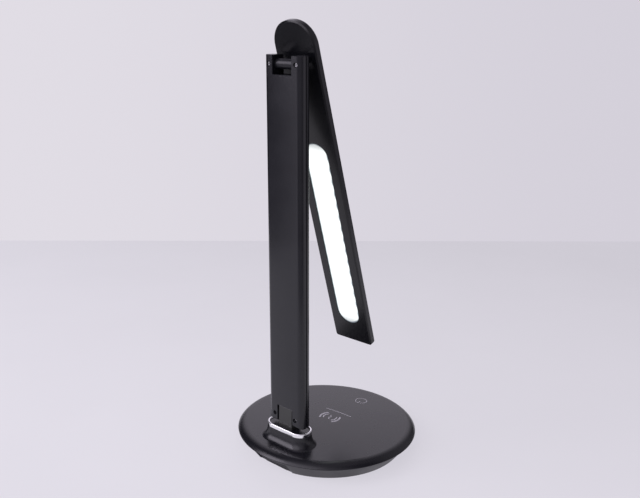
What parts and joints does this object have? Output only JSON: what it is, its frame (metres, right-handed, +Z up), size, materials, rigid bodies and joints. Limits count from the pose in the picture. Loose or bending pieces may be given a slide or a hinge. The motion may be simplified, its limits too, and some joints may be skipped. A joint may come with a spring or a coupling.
{
  "type": "table lamp",
  "caption": "Folding LED table lamp: round charging base, flat column on a hinged foot with an oval collar, and a slim hinged head with a long light panel.",
  "frame": {"origin": "centre of the round base, on the surface that the lamp stands on", "axes": "+Z up, -Y towards the front of the base with the touch mark, +Y towards the column and the ports, X along both hinge axes"},
  "size_m": [0.17, 0.17, 0.3915],
  "materials": {
    "black_gloss": "semi-gloss black moulding",
    "black_satin": "fine satin grain",
    "tray_black": "fine matte grain",
    "knuckle_black": "satin black coating",
    "chrome": "polished",
    "steel": "bright turned",
    "ballast_steel": "zinc plated",
    "rubber": "matte",
    "copper": "enamelled winding",
    "ferrite": "sintered",
    "circuit": "solder mask",
    "port_black": "moulded",
    "port_steel": "nickel plated",
    "board_white": "white coated",
    "emitter": "phosphor",
    "reflector_white": "satin white",
    "diffuser_white": "milky, lit from behind",
    "wire_grey": "ribbon insulation"
  },
  "bodies": {
    "base": {"base_top_shell": "black_gloss", "base_bottom_cover": "tray_black", "foot_ring": "rubber", "cover_screws": "steel", "ballast_plate": "ballast_steel", "charging_coil": "copper", "ferrite_plate": "ferrite", "touch_sensor": "circuit", "control_board": "circuit", "usb_socket": "port_steel", "dc_jack": "port_black", "foot_knuckle": "knuckle_black", "knuckle_screws": "steel", "collar_ring": "chrome"},
    "column": {"column_back_shell": "black_satin", "column_front_cover": "black_satin", "column_wiring": "wire_grey", "lower_hinge_pin": "steel", "lower_washers": "port_black", "lower_set_screws": "steel", "upper_hinge_pin": "steel", "upper_washers": "port_black", "upper_set_screws": "steel"},
    "head": {"head_arm": "knuckle_black", "head_arm_screws": "steel", "head_back_shell": "black_satin", "head_light_frame": "black_satin", "diffuser": "diffuser_white", "reflector": "reflector_white", "led_board": "board_white", "led_chips": "emitter"}
  },
  "joints": [
    {"name": "column_tilt", "type": "hinge", "parent": "base", "child": "column", "pos_m": [0, 0.05253, 0.04548], "axis": [1, 0, 0], "range_deg": [0, 35]},
    {"name": "head_tilt", "type": "hinge", "parent": "column", "child": "head", "pos_m": [0, 0.061, 0.35652], "axis": [-1, 0, 0], "range_deg": [-16.5, 163.5]}
  ]
}
